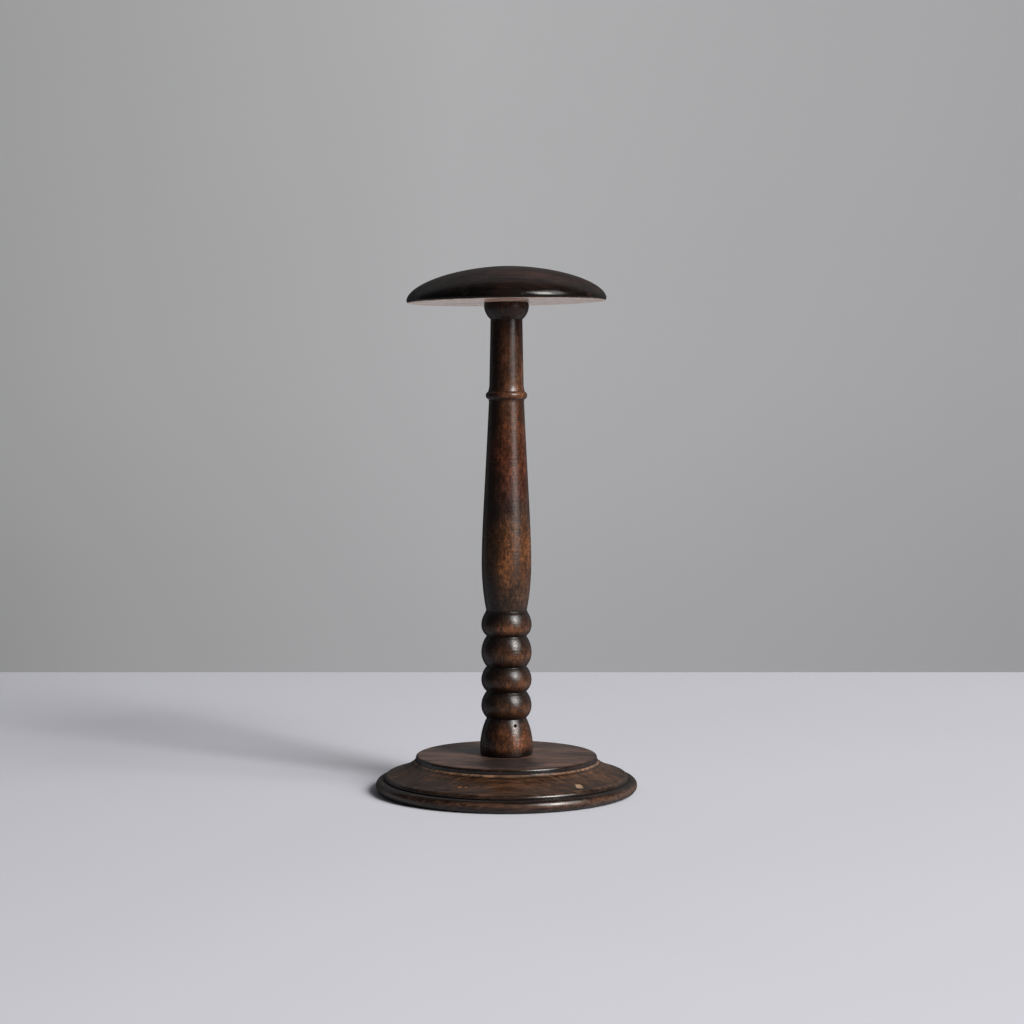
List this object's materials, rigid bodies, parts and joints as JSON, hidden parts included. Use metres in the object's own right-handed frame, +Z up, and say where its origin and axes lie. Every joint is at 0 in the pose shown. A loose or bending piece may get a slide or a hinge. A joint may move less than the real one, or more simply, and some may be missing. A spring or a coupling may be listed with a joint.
{
  "type": "hat stand",
  "caption": "Turned dark-stained wooden hat stand: a shallow domed round head on a slender baluster post with stacked beads, rising from a moulded round base with felt pads.",
  "frame": {"origin": "centre of the base on the surface that the stand rests on, under the felt pads", "axes": "+Z up along the axis of the post; +X to the right and -Y towards the viewer of the picture"},
  "size_m": [0.165, 0.165, 0.33],
  "materials": {
    "head_wood": "near-black walnut stain under satin lacquer",
    "post_wood": "dark walnut stain under satin lacquer, darker in the grooves and rubbed on the beads",
    "base_wood": "dark walnut stain under satin lacquer, rubbed orange-brown along its edges",
    "zinc_steel": "bright zinc plate",
    "felt": "dense dark brown wool felt"
  },
  "bodies": {
    "root": {"head": "head_wood", "head_insert_nut": "zinc_steel", "post": "post_wood", "hanger_bolt": "zinc_steel", "foot_insert_nut": "zinc_steel", "base": "base_wood", "base_washer": "zinc_steel", "base_bolt": "zinc_steel", "felt_pad_1": "felt", "felt_pad_2": "felt", "felt_pad_3": "felt", "felt_pad_4": "felt"}
  },
  "joints": []
}
